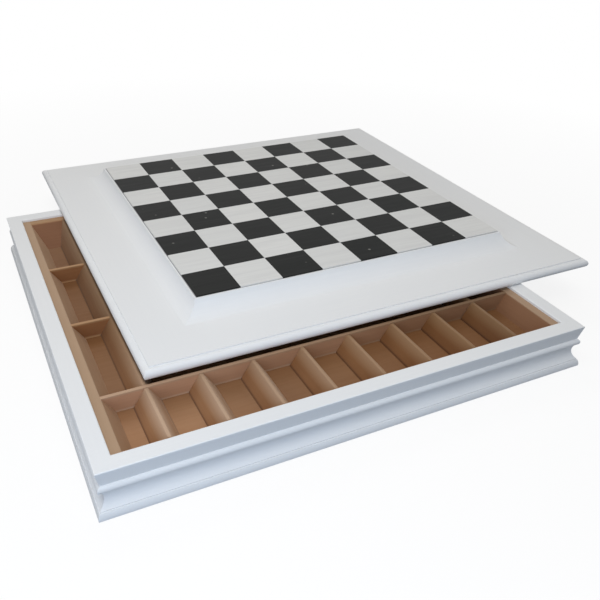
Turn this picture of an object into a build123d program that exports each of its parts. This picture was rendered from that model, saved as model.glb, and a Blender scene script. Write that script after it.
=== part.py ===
"""Chess box: a moulded tray with sloped compartments and a lift-off lid that carries the playing board.

Millimetres, Z up. The origin is the middle of the tray's underside, X runs along the front, Y to the back.
The lid is drawn where the photograph shows it, lying flat across the tray's back and right rims.
"""
import os
from math import atan2, degrees, sqrt

from build123d import *

os.makedirs("parts", exist_ok=True)

# Playing board
square = 40.0
squares_a_side = 8
square_thick = 3.0
square_seam = 0.1
board_proud = 1.0

# Lid frame, from the board outwards
lip_width = 2.0
cove_run = 15.2
cove_drop = 14.0
cove_sag = 3.0
margin_width = 42.0
step_width = 1.8
step_drop = 1.0
nose_radius = 4.1

# Tongue of the board's core and its groove in the lid frame
tongue_length = 5.0
tongue_thick = 6.0
tongue_level = 6.5
groove_clearance = 0.15

# Blocks under the lid that keep it in place on the closed box
block_side = 26.0
block_thick = 2.0
block_clearance = 1.5

# Where the lid lies in the photograph, from the closed place
lid_shift_right = 69.3
lid_shift_back = 93.6

# Outside of the tray, from the rim down
lid_overhang = 13.8
rim_width = 14.1
rim_round = 0.8
fascia_height = 13.6
fascia_lean = 2.7
bead_height = 6.2
bead_sag = 2.4
scotia_height = 14.1
scotia_out = 2.6
scotia_sag = 2.8
fillet_drop = 0.9
fillet_out = 0.7
foot_run = 1.3
foot_drop = 5.2
foot_bulge = 0.4
foot_edge = 0.8

# Bottom of the tray
base_thick = 10.0
rebate_width = 9.0
floor_thick = 12.5
panel_clearance = 0.2

# Compartments
lip_depth = 2.6
lining_top = 7.6
front_lining_top = 2.6
slope_run = 10.2
back_slope_run = 34.5
ridge_top = 2.4
wall_thick = 3.2
row_floor_length = 50.1
row_pockets = 9
left_end_share = 0.59
right_end_share = 0.89
column_pockets = 3
column_share = 0.98

# Loose keys across the mitres
tray_key_width = 2.5
tray_key_length = 8.0
tray_key_height = 14.0
tray_key_level = 15.0
tray_key_share = 0.35
lid_key_width = 16.0
lid_key_length = 34.0
lid_key_height = 3.0
lid_key_level = 3.0
lid_key_share = 0.5
key_clearance = 0.1

# Screws that hold the bottom
screw_head_radius = 3.4
screw_head_height = 2.4
screw_radius = 1.7
screw_length = 16.0
screw_tip = 2.5
screw_tip_radius = 0.4
screw_slot_width = 1.0
screw_slot_depth = 0.8
screw_sink = 0.3
screw_ledge_share = 0.44
screw_place_share = 0.6
screw_clearance = 0.1

# Lid, seen in section
quarter_share = 1 - sqrt(0.5)
board_half = square * squares_a_side / 2
lip_half = board_half + lip_width
cove_foot = lip_half + cove_run
margin_half = cove_foot + margin_width
nose_half = margin_half + step_width
lid_half = nose_half + nose_radius
nose_top = nose_radius * 2
margin_level = nose_top + step_drop
lip_level = margin_level + cove_drop
board_level = lip_level + board_proud
core_thick = board_level - square_thick

# Tray, seen in section
tray_height = fascia_height + bead_height + scotia_height + fillet_drop + foot_drop + foot_edge
rim_half = lid_half - lid_overhang
opening_half = rim_half - rim_width
rebate_half = opening_half + rebate_width
floor_level = base_thick + floor_thick
wall_level = tray_height - lip_depth
top_half = opening_half - lining_top
foot_half = top_half - slope_run
front_top = opening_half - front_lining_top
front_foot = front_top - slope_run
back_foot = top_half - back_slope_run
ridge_foot = ridge_top + slope_run * 2
floors_share = row_pockets - 2 + left_end_share + right_end_share
pocket_floor = (foot_half * 2 - ridge_foot * (row_pockets - 1)) / floors_share
ridge_pitch = pocket_floor + ridge_foot
first_ridge = pocket_floor * left_end_share + ridge_foot / 2 - foot_half
last_ridge = first_ridge + ridge_pitch * (row_pockets - 2)
row_wall_front = row_floor_length - front_foot
row_wall_back = row_wall_front + wall_thick
column_pitch = (top_half - row_wall_back) / column_pockets * column_share

tray_centre = (0, 0)
lid_centre = (lid_shift_right, lid_shift_back)
lid_level = tray_height
sides = {"right": (1, 0), "back": (0, 1), "left": (-1, 0), "front": (0, -1)}
corners = [(1, 1), (-1, 1), (-1, -1), (1, -1)]
tray_key = (opening_half + rim_width * tray_key_share, tray_key_width, tray_key_length)
lid_key = (cove_foot + margin_width * lid_key_share, lid_key_width, lid_key_length)
screw_ledge = opening_half + rebate_width * screw_ledge_share
screw_along = opening_half * screw_place_share


def save(piece, label):
    """Name a finished piece and write its file."""
    piece.part.label = label
    export_step(piece.part, f"parts/{label}.step")


def key_plane(centre, corner, place, level):
    """Level plane at a corner, its first axis along the mitre line."""
    x, y = corner
    spot = (centre[0] + x * place, centre[1] + y * place, level)
    return Plane(origin=spot, x_dir=(x, y, 0), z_dir=(0, 0, 1))


def mitred_bar(outline, side, centre, level, reach, height):
    """One side of a square frame: a moulded bar with both ends cut along the corner diagonals."""
    dx, dy = sides[side]
    one_end = (reach * (dx - dy), reach * (dx + dy))
    other_end = (reach * (dx + dy), reach * (dy - dx))
    with BuildPart() as bar:
        with BuildSketch(Plane(origin=(*centre, level), x_dir=(dx, dy, 0), z_dir=(dy, -dx, 0))):
            add(outline.sketch)
        extrude(amount=reach, both=True)
        with BuildSketch(Plane(origin=(*centre, level))):
            with BuildLine():
                Polyline((0, 0), one_end, other_end, close=True)
            make_face()
        extrude(amount=height, mode=Mode.INTERSECT)
    return bar


def keyed_bar(bar, side, centre, key, level, height):
    """The bar with a slot for a loose key in each of its mitres."""
    dx, dy = sides[side]
    place, width, length = key
    with BuildPart() as keyed:
        add(bar.part)
        for corner in [c for c in corners if c[0] * dx + c[1] * dy > 0]:
            with BuildSketch(key_plane(centre, corner, place, level - key_clearance)):
                Rectangle(width + key_clearance * 2, length + key_clearance * 2)
            extrude(amount=height + key_clearance * 2, mode=Mode.SUBTRACT)
    return keyed


def mitre_keys(centre, key, level, height):
    """Four loose keys, one across each mitre."""
    place, width, length = key
    with BuildPart() as keys:
        for corner in corners:
            with BuildSketch(key_plane(centre, corner, place, level)):
                Rectangle(width, length)
            extrude(amount=height)
    return keys


def front_plane(y):
    """Upright plane facing the front at the given depth: first axis right, second axis up."""
    return Plane(origin=(0, y, 0), x_dir=(1, 0, 0), z_dir=(0, -1, 0))


def plate(points, y_front, y_back):
    """Upright plate with the given outline, between two depths."""
    with BuildPart() as slab:
        with BuildSketch(front_plane(y_back)):
            with BuildLine():
                Polyline(*points, close=True)
            make_face()
        extrude(amount=y_back - y_front)
    return slab


def ridge(x, side_view):
    """Strip along Y with sloping flanks; its ends follow the given side view."""
    flanks = [
        (x - ridge_foot / 2, floor_level),
        (x + ridge_foot / 2, floor_level),
        (x + ridge_top / 2, wall_level),
        (x - ridge_top / 2, wall_level),
    ]
    with BuildPart() as strip:
        with BuildSketch(front_plane(opening_half)):
            with BuildLine():
                Polyline(*flanks, close=True)
            make_face()
        extrude(amount=opening_half * 2)
        with BuildSketch(Plane.YZ.offset(x - ridge_foot)):
            with BuildLine():
                Polyline(*side_view, close=True)
            make_face()
        extrude(amount=ridge_foot * 2, mode=Mode.INTERSECT)
    return strip


# Outline of a tray rail: moulded outside, rebated below for the bottom
round_sag = rim_round * quarter_share
round_level = tray_height - rim_round
bead_half = rim_half - fascia_lean
bead_top = tray_height - fascia_height
scotia_half = bead_half + scotia_out
scotia_top = bead_top - bead_height
fillet_top = scotia_top - scotia_height
foot_top = fillet_top - fillet_drop
foot_top_half = scotia_half + fillet_out
tray_half = foot_top_half + foot_run
with BuildSketch() as rail_outline:
    with BuildLine():
        Line((opening_half + rim_round, tray_height), (rim_half - rim_round, tray_height))
        SagittaArc((rim_half - rim_round, tray_height), (rim_half, round_level), round_sag)
        Line((rim_half, round_level), (bead_half, bead_top))
        SagittaArc((bead_half, bead_top), (bead_half, scotia_top), bead_sag)
        SagittaArc((bead_half, scotia_top), (scotia_half, fillet_top), -scotia_sag)
        Line((scotia_half, fillet_top), (scotia_half, foot_top))
        Line((scotia_half, foot_top), (foot_top_half, foot_top))
        SagittaArc((foot_top_half, foot_top), (tray_half, foot_edge), foot_bulge)
        Line((tray_half, foot_edge), (tray_half, 0))
        Line((tray_half, 0), (rebate_half, 0))
        Line((rebate_half, 0), (rebate_half, base_thick))
        Line((rebate_half, base_thick), (opening_half, base_thick))
        Line((opening_half, base_thick), (opening_half, round_level))
        SagittaArc((opening_half, round_level), (opening_half + rim_round, tray_height), round_sag)
    make_face()

# Tray rails with key slots and pilot holes
screw_places = []
for side, (dx, dy) in sides.items():
    own_places = [
        (dx * screw_ledge - dy * along, dy * screw_ledge + dx * along)
        for along in (-screw_along, screw_along)
    ]
    screw_places += own_places
    moulding = mitred_bar(rail_outline, side, tray_centre, 0, tray_half, tray_height)
    keyed = keyed_bar(moulding, side, tray_centre, tray_key, tray_key_level, tray_key_height)
    with BuildPart() as rail:
        add(keyed.part)
        with BuildSketch():
            with Locations(*own_places):
                Circle(screw_radius + screw_clearance)
        extrude(amount=screw_sink + screw_length + screw_clearance, mode=Mode.SUBTRACT)
    save(rail, f"tray_{side}_rail")

save(mitre_keys(tray_centre, tray_key, tray_key_level, tray_key_height), "tray_keys")

# Bottom panel with countersunk holes
head_taper = degrees(atan2(screw_head_radius - screw_radius, screw_head_height))
with BuildPart() as base_panel:
    with BuildSketch():
        Rectangle((rebate_half - panel_clearance) * 2, (rebate_half - panel_clearance) * 2)
    extrude(amount=base_thick)
    with BuildSketch():
        with Locations(*screw_places):
            Circle(screw_radius + screw_clearance)
    extrude(amount=base_thick, mode=Mode.SUBTRACT)
    with BuildSketch():
        with Locations(*screw_places):
            Circle(screw_head_radius + screw_clearance)
    extrude(amount=screw_sink, mode=Mode.SUBTRACT)
    for x, y in screw_places:
        with BuildSketch(Plane(origin=(x, y, screw_sink))):
            Circle(screw_head_radius + screw_clearance)
        extrude(amount=screw_head_height, taper=head_taper, mode=Mode.SUBTRACT)
save(base_panel, "base_panel")

# Screws, heads just under the face of the bottom
tip_taper = degrees(atan2(screw_radius - screw_tip_radius, screw_tip))
with BuildPart() as base_screws:
    for x, y in screw_places:
        with BuildSketch(Plane(origin=(x, y, screw_sink))):
            Circle(screw_head_radius)
        extrude(amount=screw_head_height, taper=head_taper)
        with BuildSketch(Plane(origin=(x, y, screw_sink + screw_head_height))):
            Circle(screw_radius)
        extrude(amount=screw_length - screw_head_height - screw_tip)
        with BuildSketch(Plane(origin=(x, y, screw_sink + screw_length - screw_tip))):
            Circle(screw_radius)
        extrude(amount=screw_tip, taper=tip_taper)
        with BuildSketch(Plane(origin=(x, y, screw_sink))):
            Rectangle(screw_head_radius * 2, screw_slot_width)
        extrude(amount=screw_slot_depth, mode=Mode.SUBTRACT)
save(base_screws, "base_screws")

# Floor of the compartments, resting on the bottom
with BuildPart() as floor_board:
    with BuildSketch(Plane.XY.offset(base_thick)):
        Rectangle((opening_half - panel_clearance) * 2, (opening_half - panel_clearance) * 2)
    extrude(amount=floor_thick)
save(floor_board, "floor_board")

# Side linings, running from the front rail to the back rail
for name, hand in (("left", -1), ("right", 1)):
    side_lining_view = [
        (hand * opening_half, floor_level),
        (hand * opening_half, wall_level),
        (hand * top_half, wall_level),
        (hand * foot_half, floor_level),
    ]
    save(plate(side_lining_view, -opening_half, opening_half), f"{name}_lining")

# Front and back linings, their ends scribed to the side linings
across_view = [
    (-foot_half, floor_level),
    (foot_half, floor_level),
    (top_half, wall_level),
    (-top_half, wall_level),
]
front_lining_view = [
    (-opening_half, floor_level),
    (-front_foot, floor_level),
    (-front_top, wall_level),
    (-opening_half, wall_level),
]
back_lining_view = [
    (back_foot, floor_level),
    (opening_half, floor_level),
    (opening_half, wall_level),
    (top_half, wall_level),
]
for name, side_view in (("front", front_lining_view), ("back", back_lining_view)):
    with BuildPart() as lining:
        with BuildSketch(Plane.YZ.offset(-opening_half)):
            with BuildLine():
                Polyline(*side_view, close=True)
            make_face()
        extrude(amount=opening_half * 2)
        with BuildSketch(front_plane(opening_half)):
            with BuildLine():
                Polyline(*across_view, close=True)
            make_face()
        extrude(amount=opening_half * 2, mode=Mode.INTERSECT)
    save(lining, f"{name}_lining")

# Wall behind the front row, its ends scribed to the side linings
save(plate(across_view, row_wall_front, row_wall_back), "row_wall")

# Ridges of the front row
row_ridge_view = [
    (-front_foot, floor_level),
    (row_wall_front, floor_level),
    (row_wall_front, wall_level),
    (-front_top, wall_level),
]
for number in range(row_pockets - 1):
    save(ridge(first_ridge + number * ridge_pitch, row_ridge_view), f"row_ridge_{number + 1}")

# Long ridges and cross walls of the two side columns
column_ridge_view = [
    (row_wall_back, floor_level),
    (back_foot, floor_level),
    (top_half, wall_level),
    (row_wall_back, wall_level),
]
for name, hand, column_ridge in (("left", -1, first_ridge), ("right", 1, last_ridge)):
    save(ridge(column_ridge, column_ridge_view), f"{name}_column_ridge")
    divider_view = [
        (hand * foot_half, floor_level),
        (hand * top_half, wall_level),
        (column_ridge + hand * ridge_top / 2, wall_level),
        (column_ridge + hand * ridge_foot / 2, floor_level),
    ]
    for number in range(1, column_pockets):
        divider_front = row_wall_back + number * column_pitch - wall_thick / 2
        divider = plate(divider_view, divider_front, divider_front + wall_thick)
        save(divider, f"{name}_divider_{number}")

# Outline of a lid frame member: lip, cove, flat margin, step and round nose, with a groove inside
groove_foot = tongue_level - groove_clearance
groove_head = tongue_level + tongue_thick + groove_clearance
groove_half = board_half + tongue_length + groove_clearance
with BuildSketch() as frame_outline:
    with BuildLine():
        Line((board_half, 0), (nose_half, 0))
        ThreePointArc((nose_half, 0), (lid_half, nose_radius), (nose_half, nose_top))
        Polyline(
            (nose_half, nose_top),
            (margin_half, nose_top),
            (margin_half, margin_level),
            (cove_foot, margin_level),
        )
        SagittaArc((cove_foot, margin_level), (lip_half, lip_level), cove_sag)
        Polyline(
            (lip_half, lip_level),
            (board_half, lip_level),
            (board_half, groove_head),
            (groove_half, groove_head),
            (groove_half, groove_foot),
            (board_half, groove_foot),
            (board_half, 0),
        )
    make_face()
lid_key_base = lid_level + lid_key_level
for side in sides:
    member = mitred_bar(frame_outline, side, lid_centre, lid_level, lid_half, lip_level)
    keyed = keyed_bar(member, side, lid_centre, lid_key, lid_key_base, lid_key_height)
    save(keyed, f"lid_{side}_frame")

save(mitre_keys(lid_centre, lid_key, lid_key_base, lid_key_height), "lid_keys")

# Core of the board, its tongue held in the frame's groove
core_side = (board_half - groove_clearance) * 2
with BuildPart() as board_core:
    with BuildSketch(Plane(origin=(*lid_centre, lid_level))):
        Rectangle(core_side, core_side)
    extrude(amount=core_thick)
    with BuildSketch(Plane(origin=(*lid_centre, lid_level + tongue_level))):
        Rectangle((board_half + tongue_length) * 2, (board_half + tongue_length) * 2)
    extrude(amount=tongue_thick)
save(board_core, "board_core")

# Inlaid squares, the near left one black
for colour, odd in (("black", 0), ("white", 1)):
    places = [
        (square * (column + 0.5) - board_half, square * (row + 0.5) - board_half)
        for column in range(squares_a_side)
        for row in range(squares_a_side)
        if (column + row) % 2 == odd
    ]
    with BuildPart() as inlay:
        with BuildSketch(Plane(origin=(*lid_centre, lid_level + core_thick))):
            with Locations(*places):
                Rectangle(square - square_seam, square - square_seam)
        extrude(amount=square_thick)
    save(inlay, f"{colour}_squares")

# Locating blocks under the lid's corners
block_place = opening_half - block_clearance - block_side / 2
with BuildPart() as locating_blocks:
    with BuildSketch(Plane(origin=(*lid_centre, lid_level - block_thick))):
        with Locations(*[(x * block_place, y * block_place) for x, y in corners]):
            Rectangle(block_side, block_side)
    extrude(amount=block_thick)
save(locating_blocks, "locating_blocks")
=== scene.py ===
"""Looks of the chess box: paint, film and veneer, softened ridges, a plain studio and the photo's camera."""
from math import radians
from typing import NamedTuple

import bpy
from mathutils import Matrix, Vector


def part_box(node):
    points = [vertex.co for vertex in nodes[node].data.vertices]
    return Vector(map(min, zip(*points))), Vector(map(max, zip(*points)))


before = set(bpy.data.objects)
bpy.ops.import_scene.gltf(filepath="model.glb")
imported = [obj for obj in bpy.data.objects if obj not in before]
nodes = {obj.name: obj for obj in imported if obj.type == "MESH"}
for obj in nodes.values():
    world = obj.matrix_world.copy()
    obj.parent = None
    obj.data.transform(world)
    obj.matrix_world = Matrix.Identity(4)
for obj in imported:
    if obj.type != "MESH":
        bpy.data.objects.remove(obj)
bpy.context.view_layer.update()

# Camera, fitted to the board, the lid and the tray in the photograph
camera_place = Vector((-0.24864, -0.56388, 0.37723))
camera_heading = radians(27.197)
camera_pitch = radians(31.289)
camera_roll = radians(1.763)
camera_lens = 43.063

# Surroundings: white where they are seen, and plain light on the box
white = (1, 1, 1, 1)
sky_strength = 0.30
floor_size = 30
floor_roughness = 0.9
floor_bounce = (0.25, 0.27, 0.30, 1)
glow_distances, glow_shares = (0.35, 0.9), (0.86, 1.0)

# What the lamps point at
box_middle = (0.0, 0.0, 0.03)
box_left = (-0.1, 0.0, 0.03)
near_corner = (-0.15, -0.15, 0.03)
near_rail = (-0.15, -0.21, 0.02)

# Board and compartment layout, read from the frame
square_low, square_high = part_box("black_squares")
squares_a_side = 8
square_size = (square_high.x - square_low.x) / squares_a_side
lip_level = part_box("lid_front_frame")[1].z
well_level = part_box("floor_board")[1].z
wall_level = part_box("row_wall")[1].z

# Grain: the axis it follows, and the part of a noise's range where most of it lies
ALONG_X, ALONG_Y = 0, 1
noise_span = (0.2, 0.8)

# White paint: brush marks, painted shade in its hollows, and the hairline joint between the board and the
# lid's lip
paint_whites = (0.80, 0.81, 0.815, 1), (0.84, 0.845, 0.84, 1)
paint_cloud_scale, paint_cloud_span = 9.0, (0.1, 0.9)
paint_roughness, paint_gloss = (0.58, 0.70), 0.12
brush_grey = (0.78, 0.79, 0.80, 1)
brush_scales, brush_detail = (600.0, 12.0), 4.0
brush_span, brush_share = (0.25, 0.75), 0.35
brush_depth, brush_strength = 0.00006, 0.5
# Painted shade: grey mixed into the paint where creases and hollows close in around it
hollow_shade_grey = (0.55, 0.56, 0.58, 1)
hollow_shade_reach, hollow_shade_samples = 0.004, 4
hollow_shade_span, hollow_shade_share = (0.25, 0.9), 0.3
joint_grey = (0.25, 0.25, 0.26, 1)
joint_span, joint_share = (0.0006, 0.0009), 0.8
lip_span = (lip_level - 0.0006, lip_level - 0.0003)

# Brown film: its colours in red, green and blue, its sheen and its fibres
film_dark, film_light = (0.335, 0.168, 0.080), (0.385, 0.202, 0.100)
film_grain = (0.28, 0.136, 0.062)
film_cloud_scale, film_cloud_span = 22.0, (0.3, 0.7)
film_roughness, film_gloss = (0.5, 0.62), 0.25
sheen_weight, sheen_roughness, sheen_tint = 0.28, 0.4, (1.0, 0.84, 0.66, 1)
fibre_scales, fibre_detail, fibre_roughness = (420.0, 16.0), 5.0, 0.6
fibre_span, fibre_share = (0.35, 0.75), 0.3
fibre_depth, fibre_strength = 0.00006, 0.5

# Brown film, worn and lightened by a painted highlight along the top, and lined at the foot
film_worn_and_lit = (0.43, 0.30, 0.195, 1)
worn_and_lit_level, worn_and_lit_share = wall_level - 0.0002, 0.7
# The first colour is painted shade, a dark line where the ridges meet the floor; the second is a pale line at
# the feet of walls and dividers
foot_shade, pale_foot = (0.10, 0.045, 0.024, 1), (0.52, 0.36, 0.24, 1)
foot_span, foot_share = (well_level + 0.0006, well_level + 0.0022), 0.8

# Painted light falloff: the corner where the brown is painted palest, as the photograph shows it, darker and
# redder away from it; distance to the back counts double, height not at all
lit_corner = (-0.19, -0.19, 0.0)
lit_corner_shape = (1.0, 2.0, 0.0)
near_span, far_span, hue_span = (0.06, 0.13), (0.13, 0.34), (0.07, 0.30)
green_gain, green_loss = 0.03, 0.15
blue_gain, blue_loss = 0.12, 0.36

# Veneer of the board's squares: dark, light and vein tones, grain, waves and mineral specks
black_tones = (0.008, 0.009, 0.0085, 1), (0.012, 0.012, 0.0115, 1), (0.018, 0.0185, 0.018, 1)
pale_tones = (0.70, 0.705, 0.69, 1), (0.74, 0.74, 0.72, 1), (0.64, 0.64, 0.63, 1)
veneer_roughness, veneer_gloss = (0.46, 0.58), 0.08
vein_scales, vein_noise = (900.0, 28.0), {"detail": 4.0, "roughness": 0.6, "distortion": 0.4}
vein_span, vein_share = (0.5, 0.75), 0.35
vein_depth, vein_strength = 0.00004, 0.4
wave_scales, wave_noise = (180.0, 14.0), {"detail": 2.0, "distortion": 0.6}
wave_span, wave_share = (0.42, 0.7), 0.5
speck_grey = (0.34, 0.34, 0.31, 1)
speck_scale, speck_span, speck_rarity = 95.0, (0.16, 0.05), 0.88
black_specks, pale_specks = 0.5, 0.0

# Bare sheet wood, and the pieces made of it
plain_pieces = ("base_panel", "board_core", "tray_keys", "lid_keys", "locating_blocks")
ply_tones, ply_grain = ((0.66, 0.50, 0.33, 1), (0.56, 0.40, 0.25, 1)), (0.40, 0.27, 0.16, 1)
ply_roughness = (0.55, 0.7)
ply_scales, ply_noise = (260.0, 9.0), {"detail": 5.0, "roughness": 0.6, "distortion": 0.3}
ply_span, ply_share = (0.45, 0.8), 0.5
ply_depth, ply_strength = 0.0001, 0.5
figure_scales, figure_noise = (60.0, 12.0), {"detail": 2.0, "distortion": 1.2}
figure_span = (0.35, 0.65)

# Zinc plated steel
steel_tones, steel_roughness = ((0.50, 0.50, 0.50, 1), (0.62, 0.62, 0.60, 1)), (0.28, 0.45)
scratch_scales, scratch_span = (300.0, 3000.0), (0.3, 0.7)

# Rounding of the ridges
weld_reach = 1e-6
ridge_round, ridge_round_segments = 0.0010, 3
sharp_angle = radians(35)


class Nodes:
    """A node tree, with short calls that add and join nodes."""

    def __init__(self, tree):
        self.tree = tree

    def put(self, socket, value):
        """Link an output to a socket, or set the socket's own value."""
        if isinstance(value, bpy.types.NodeSocket):
            self.tree.links.new(value, socket)
        else:
            socket.default_value = value

    def add(self, kind, inputs=None, **settings):
        """A new node with its settings and inputs."""
        node = self.tree.nodes.new(kind)
        for key, value in settings.items():
            setattr(node, key, value)
        for key, value in (inputs or {}).items():
            self.put(node.inputs[key], value)
        return node

    def sums(self, operation, first, second):
        """One arithmetic step."""
        return self.add("ShaderNodeMath", {0: first, 1: second}, operation=operation).outputs[0]

    def seen(self):
        """1 for what the camera sees, also in reflections or through glass, and 0 for light on the box."""
        rays = self.add("ShaderNodeLightPath").outputs
        seen = self.sums("MAXIMUM", rays["Is Camera Ray"], rays["Is Glossy Ray"])
        return self.sums("MAXIMUM", seen, rays["Is Transmission Ray"])

    def show(self, output, share, first, second):
        """Two shaders mixed by a share, on the tree's output."""
        both = self.add("ShaderNodeMixShader", {0: share, 1: first.outputs[0], 2: second.outputs[0]})
        self.put(self.tree.nodes[output].inputs["Surface"], both.outputs[0])


class Finish(Nodes):
    """A material with one Principled shader."""

    def __init__(self, name):
        self.material = bpy.data.materials.new(name)
        self.material.use_nodes = True
        super().__init__(self.material.node_tree)
        self.shader = self.tree.nodes["Principled BSDF"]
        self.place = self.add("ShaderNodeTexCoord").outputs["Object"]

    def look(self, **inputs):
        """Set the shader's own inputs, named with underscores for spaces."""
        for key, value in inputs.items():
            self.put(self.shader.inputs[key.replace("_", " ")], value)

    def vectors(self, operation, *inputs):
        """One step with vectors; a length comes out as a value."""
        node = self.add("ShaderNodeVectorMath", dict(enumerate(inputs)), operation=operation)
        return node.outputs["Value" if operation == "LENGTH" else "Vector"]

    def height(self):
        """Height above the box's underside, with the lid at rest."""
        return self.add("ShaderNodeSeparateXYZ", {"Vector": self.place}).outputs["Z"]

    def stretch(self, scale, shift=(0, 0, 0), place=None):
        """Place multiplied by a scale on each axis, then shifted."""
        inputs = {"Vector": place or self.place, "Scale": scale, "Location": shift}
        return self.add("ShaderNodeMapping", inputs).outputs["Vector"]

    def noise(self, place, scale, detail=3.0, roughness=0.5, distortion=0.0):
        """Soft noise from 0 to 1."""
        inputs = {"Vector": place, "Scale": scale, "Detail": detail}
        inputs.update({"Roughness": roughness, "Distortion": distortion})
        return self.add("ShaderNodeTexNoise", inputs).outputs["Fac"]

    def streaks(self, along, scales, place=None, **noise):
        """Noise with one scale across an axis and another along it."""
        across, lengthways = scales
        scale = [across, across, across]
        scale[along] = lengthways
        return self.noise(self.stretch(scale, place=place), 1.0, **noise)

    def spread(self, value, span, to=(0.0, 1.0)):
        """Value within a span, mapped to another range and held within it."""
        inputs = {"Value": value, "From Min": span[0], "From Max": span[1]}
        inputs.update({"To Min": to[0], "To Max": to[1]})
        return self.add("ShaderNodeMapRange", inputs).outputs["Result"]

    def mix(self, share, first, second, blend="MIX"):
        """Two colours mixed by a share."""
        node = self.add("ShaderNodeMix", data_type="RGBA", blend_type=blend)
        colours = [socket for socket in node.inputs if socket.type == "RGBA"]
        self.put(node.inputs["Factor"], share)
        self.put(colours[0], first)
        self.put(colours[1], second)
        return next(socket for socket in node.outputs if socket.type == "RGBA")

    def occlusion(self):
        """How much of the space close to the surface is taken up."""
        node = self.add("ShaderNodeAmbientOcclusion", {"Distance": hollow_shade_reach}, samples=hollow_shade_samples)
        return self.sums("SUBTRACT", 1.0, node.outputs["AO"])

    def bump(self, height, depth, strength):
        """Surface relief of a real depth in metres, for the shader's normal."""
        node = self.add("ShaderNodeBump", {"Height": height, "Distance": depth, "Strength": strength})
        self.put(self.shader.inputs["Normal"], node.outputs["Normal"])


class Brown(NamedTuple):
    """What sets one kind of brown piece apart."""

    # Tone, partly painted light: walls set lighter and the back and right lining darker for how light falls
    # on them; and shares of the film's green and blue
    level: float
    green: float
    blue: float
    # Painted light falloff: tone at the lit corner and far from it, and how much redder it gets on the way
    near: float = 1.0
    far: float = 1.0
    rich: float = 0.0
    # Depth of the wear and painted highlight on top, and the colour of a line at the foot, which is painted
    # shade at the ridges' feet
    wear_and_highlight: float = 0.001
    foot: tuple = None


# The levels hold painted light as well as tone: lighter walls, darker back and right lining
# A piece is of the first kind whose word is in its name
brown_kinds = {
    "ridge": Brown(0.73, 0.95, 0.83, near=1.28, far=0.54, rich=1.0, wear_and_highlight=0.009, foot=foot_shade),
    "wall": Brown(1.32, 1.09, 1.30, near=1.20, far=0.55, rich=0.5, wear_and_highlight=0.002, foot=pale_foot),
    "divider": Brown(0.74, 0.99, 1.04, rich=1.0, wear_and_highlight=0.002, foot=pale_foot),
    "floor": Brown(0.67, 1.01, 0.95, near=1.58, far=0.75, rich=1.0, wear_and_highlight=0.002),
    "back": Brown(0.50, 0.96, 1.10, rich=1.0),
    "right_lining": Brown(0.625, 0.95, 0.98),
    "lining": Brown(0.92, 1.04, 1.04),
}


def beyond_board(finish):
    """How far outside the board's edge a place lies, seen from above."""
    middle = (square_low + square_high) / 2
    offset = finish.vectors("ABSOLUTE", finish.stretch((1, 1, 0), (-middle.x, -middle.y, 0)))
    offset = finish.add("ShaderNodeSeparateXYZ", {"Vector": offset}).outputs
    reach = finish.sums("MAXIMUM", offset["X"], offset["Y"])
    return finish.sums("SUBTRACT", reach, (square_high.x - square_low.x) / 2)


def white_paint(name, along):
    """Satin white paint, brushed along one axis, with painted shade in its hollows and grey in the board's
    joint.
    """
    paint = Finish(name)
    strokes = paint.streaks(along, brush_scales, detail=brush_detail)
    clouds = paint.noise(paint.place, paint_cloud_scale)
    tone = paint.mix(paint.spread(clouds, paint_cloud_span), *paint_whites)
    tone = paint.mix(paint.spread(strokes, brush_span, (0.0, brush_share)), tone, brush_grey)
    # Painted shade: grey where the surface is hemmed in by nearby surfaces
    tone = paint.mix(paint.spread(paint.occlusion(), hollow_shade_span, (0.0, hollow_shade_share)), tone, hollow_shade_grey)
    at_board = paint.spread(beyond_board(paint), joint_span, (joint_share, 0.0))
    joint = paint.sums("MULTIPLY", paint.spread(paint.height(), lip_span), at_board)
    paint.look(Base_Color=paint.mix(joint, tone, joint_grey), Specular_IOR_Level=paint_gloss)
    paint.look(Roughness=paint.spread(clouds, paint_cloud_span, paint_roughness))
    paint.bump(strokes, brush_depth, brush_strength)
    return paint.material


def film(colour, kind):
    """A film colour at a kind's own level, with its own shares of green and blue."""
    red, green, blue = (part * kind.level for part in colour)
    return (red, green * kind.green, blue * kind.blue, 1)


def painted_falloff(wood, kind):
    """Painted light falloff to multiply the film with: darker and redder away from the lit corner."""
    shift = [-share * place for share, place in zip(lit_corner_shape, lit_corner)]
    away = wood.vectors("LENGTH", wood.stretch(lit_corner_shape, shift))
    close = wood.spread(away, near_span, (kind.near, 1.0))
    distant = wood.spread(away, far_span, (1.0, kind.far))
    parts = [wood.sums("MULTIPLY", close, distant)]
    for gain, loss in ((green_gain, green_loss), (blue_gain, blue_loss)):
        hue = wood.spread(away, hue_span, (1 + gain * kind.rich, 1 - loss * kind.rich))
        parts.append(wood.sums("MULTIPLY", parts[0], hue))
    return wood.add("ShaderNodeCombineColor", dict(enumerate(parts))).outputs["Color"]


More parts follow.
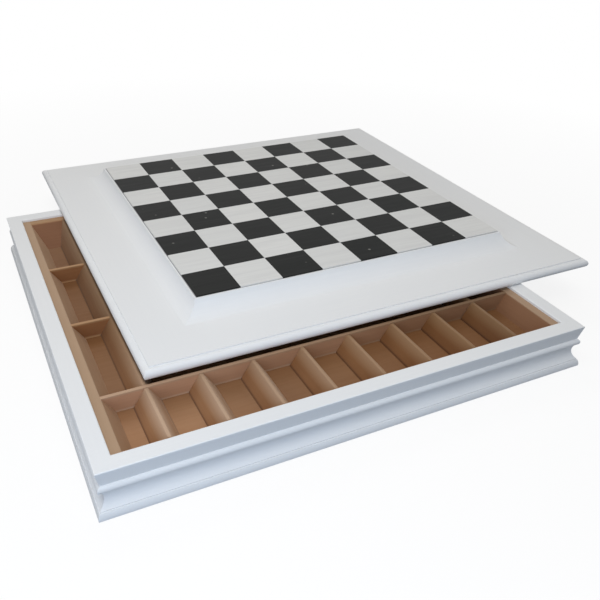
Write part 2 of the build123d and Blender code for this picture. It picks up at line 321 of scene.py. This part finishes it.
def brown_insert(name, along, kind):
    """Matte brown film on wood with a soft sheen, worn and given a painted highlight on top, and with painted
    light falloff away from the lit corner.
    """
    wood = Finish(name)
    grain = wood.streaks(along, fibre_scales, detail=fibre_detail, roughness=fibre_roughness)
    clouds = wood.noise(wood.place, film_cloud_scale)
    dark, light, line = (film(colour, kind) for colour in (film_dark, film_light, film_grain))
    tone = wood.mix(wood.spread(clouds, film_cloud_span), dark, light)
    tone = wood.mix(wood.spread(grain, fibre_span, (0.0, fibre_share)), tone, line)
    height = wood.height()
    # Paler film on top: partly wear, partly a painted highlight on crests and upper flanks
    worn_and_lit = wood.spread(height, (wall_level - kind.wear_and_highlight, worn_and_lit_level), (0.0, worn_and_lit_share))
    tone = wood.mix(worn_and_lit, tone, film_worn_and_lit)
    # A line at the foot; on the ridges it is painted shade
    if kind.foot:
        tone = wood.mix(wood.spread(height, foot_span, (foot_share, 0.0)), tone, kind.foot)
    # Painted light: the film is multiplied by a falloff from the lit corner
    wood.look(Base_Color=wood.mix(1.0, tone, painted_falloff(wood, kind), "MULTIPLY"))
    wood.look(Roughness=wood.spread(grain, noise_span, film_roughness), Specular_IOR_Level=film_gloss)
    wood.look(Sheen_Weight=sheen_weight, Sheen_Roughness=sheen_roughness, Sheen_Tint=sheen_tint)
    wood.bump(grain, fibre_depth, fibre_strength)
    return wood.material


def square_cells(finish):
    """Places with a shift of their own in each square of the board, and a random value for each square."""
    corner = (-square_low.x / square_size, -square_low.y / square_size, 0.0)
    scale = (1 / square_size, 1 / square_size, 0.0)
    cell = finish.vectors("FLOOR", finish.stretch(scale, corner))
    chance = finish.add("ShaderNodeTexWhiteNoise", {"Vector": cell}, noise_dimensions="3D").outputs
    return finish.vectors("ADD", finish.place, chance["Color"]), chance["Value"]


def inlay(name, dark, light, vein, specks):
    """Veneer square: fine wavy grain along the rows, a tone of its own and a few mineral specks."""
    veneer = Finish(name)
    place, chance = square_cells(veneer)
    grain = veneer.streaks(ALONG_X, vein_scales, place, **vein_noise)
    waves = veneer.streaks(ALONG_X, wave_scales, place, **wave_noise)
    tone = veneer.mix(chance, dark, light)
    tone = veneer.mix(veneer.spread(waves, wave_span, (0.0, wave_share)), tone, vein)
    tone = veneer.mix(veneer.spread(grain, vein_span, (0.0, vein_share)), tone, vein)
    dots = veneer.add("ShaderNodeTexVoronoi", {"Vector": place, "Scale": speck_scale}, feature="F1").outputs
    rare = veneer.add("ShaderNodeTexWhiteNoise", {"Vector": dots["Position"]}, noise_dimensions="3D")
    rare = veneer.sums("GREATER_THAN", rare.outputs["Value"], speck_rarity)
    shown = veneer.sums("MULTIPLY", veneer.spread(dots["Distance"], speck_span), rare)
    tone = veneer.mix(veneer.sums("MULTIPLY", shown, specks), tone, speck_grey)
    veneer.look(Base_Color=tone, Specular_IOR_Level=veneer_gloss)
    veneer.look(Roughness=veneer.spread(grain, noise_span, veneer_roughness))
    veneer.bump(grain, vein_depth, vein_strength)
    return veneer.material


def plain_board(name, along):
    """Bare sheet wood with a flat-cut figure."""
    ply = Finish(name)
    grain = ply.streaks(along, ply_scales, **ply_noise)
    figure = ply.streaks(along, figure_scales, **figure_noise)
    tone = ply.mix(ply.spread(figure, figure_span), *ply_tones)
    tone = ply.mix(ply.spread(grain, ply_span, (0.0, ply_share)), tone, ply_grain)
    ply.look(Base_Color=tone, Roughness=ply.spread(grain, noise_span, ply_roughness))
    ply.bump(grain, ply_depth, ply_strength)
    return ply.material


def screw_steel(name):
    """Zinc plated steel with fine scratches."""
    steel = Finish(name)
    scratch = steel.streaks(ALONG_X, scratch_scales)
    tone = steel.mix(steel.spread(scratch, scratch_span), *steel_tones)
    steel.look(Base_Color=tone, Roughness=steel.spread(scratch, noise_span, steel_roughness), Metallic=1.0)
    return steel.material


def soften(node):
    """Round a ridge's sharp edges a little, without touching its mesh."""
    weld = node.modifiers.new("weld", "WELD")
    weld.merge_threshold = weld_reach
    bevel = node.modifiers.new("bevel", "BEVEL")
    bevel.width = ridge_round
    bevel.segments = ridge_round_segments
    bevel.limit_method = "ANGLE"
    bevel.angle_limit = sharp_angle


def dress(node, material):
    """Give a CAD piece one material."""
    node.data.materials.clear()
    node.data.materials.append(material)


def dress_all():
    """Give every CAD piece its material, paint and film along its longer side, and soften the ridges."""
    paint = {ALONG_X: white_paint("white_paint_x", ALONG_X), ALONG_Y: white_paint("white_paint_y", ALONG_Y)}
    brown = {}
    ply = plain_board("plain_board", ALONG_X)
    own_finish = {name: ply for name in plain_pieces}
    own_finish["base_screws"] = screw_steel("screw_steel")
    own_finish["black_squares"] = inlay("black_inlay", *black_tones, black_specks)
    own_finish["white_squares"] = inlay("pale_inlay", *pale_tones, pale_specks)
    for name, node in nodes.items():
        low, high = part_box(name)
        axis = ALONG_X if high.x - low.x >= high.y - low.y else ALONG_Y
        if name.endswith(("_rail", "_frame")):
            dress(node, paint[axis])
        elif name in own_finish:
            dress(node, own_finish[name])
        else:
            kind = next(word for word in brown_kinds if word in name)
            if (kind, axis) not in brown:
                brown[kind, axis] = brown_insert(f"brown_{kind}_{axis}", axis, brown_kinds[kind])
            dress(node, brown[kind, axis])
            if kind == "ridge":
                soften(node)


def studio():
    """Pale floor that keeps the box's shadow, and white surroundings."""
    bpy.context.scene.view_settings.view_transform = "Standard"
    bpy.ops.mesh.primitive_plane_add(size=floor_size)
    floor = bpy.context.object
    floor.name = "floor"
    ground = Finish("floor")
    seen = ground.seen()
    colour = ground.mix(seen, floor_bounce, white)
    ground.look(Base_Color=colour, Roughness=floor_roughness, Specular_IOR_Level=0.0)
    glow = ground.add("ShaderNodeEmission", {"Color": white, "Strength": 1.0})
    away = ground.vectors("LENGTH", ground.place)
    share = ground.sums("MULTIPLY", seen, ground.spread(away, glow_distances, glow_shares))
    ground.show("Material Output", share, ground.shader, glow)
    floor.data.materials.append(ground.material)

    world = bpy.data.worlds.new("studio")
    bpy.context.scene.world = world
    world.use_nodes = True
    around = Nodes(world.node_tree)
    sky = around.tree.nodes["Background"]
    around.put(sky.inputs["Color"], white)
    around.put(sky.inputs["Strength"], sky_strength)
    plain = around.add("ShaderNodeBackground", {"Color": white, "Strength": 1.0})
    around.show("World Output", around.seen(), sky, plain)


def lamp(name, place, aim, size, watts, colour):
    """Soft square lamp pointed at a place."""
    data = bpy.data.lights.new(name, "AREA")
    data.size = size
    data.energy = watts
    data.color = colour
    light = bpy.data.objects.new(name, data)
    light.location = place
    light.rotation_euler = (Vector(aim) - Vector(place)).to_track_quat("-Z", "Y").to_euler()
    bpy.context.scene.collection.objects.link(light)


def camera():
    """Camera at the photograph's viewing angle."""
    data = bpy.data.cameras.new("camera")
    data.lens = camera_lens
    view = bpy.data.objects.new("camera", data)
    turn = Matrix.Rotation(-camera_heading, 4, "Z") @ Matrix.Rotation(radians(90) - camera_pitch, 4, "X")
    view.matrix_world = Matrix.Translation(camera_place) @ turn @ Matrix.Rotation(camera_roll, 4, "Z")
    bpy.context.scene.collection.objects.link(view)
    bpy.context.scene.camera = view


dress_all()
studio()
lamp("front_high", place=(-0.3, -0.7, 1.5), aim=box_middle, size=0.7, watts=6.65, colour=(1.0, 0.99, 0.97))
lamp("near_low", place=(-0.25, -0.62, 0.28), aim=near_rail, size=0.25, watts=0.67, colour=(0.50, 0.71, 1.0))
lamp("left_low", place=(-0.70, -0.70, 0.35), aim=near_corner, size=0.4, watts=1.85, colour=(0.77, 0.85, 1.0))
lamp("top_left", place=(-0.3, -0.1, 0.9), aim=box_left, size=0.4, watts=1.40, colour=(1.0, 0.96, 0.91))
lamp("back_high", place=(0.1, 1.1, 1.5), aim=box_middle, size=0.7, watts=4.0, colour=(1.0, 0.99, 0.98))
camera()
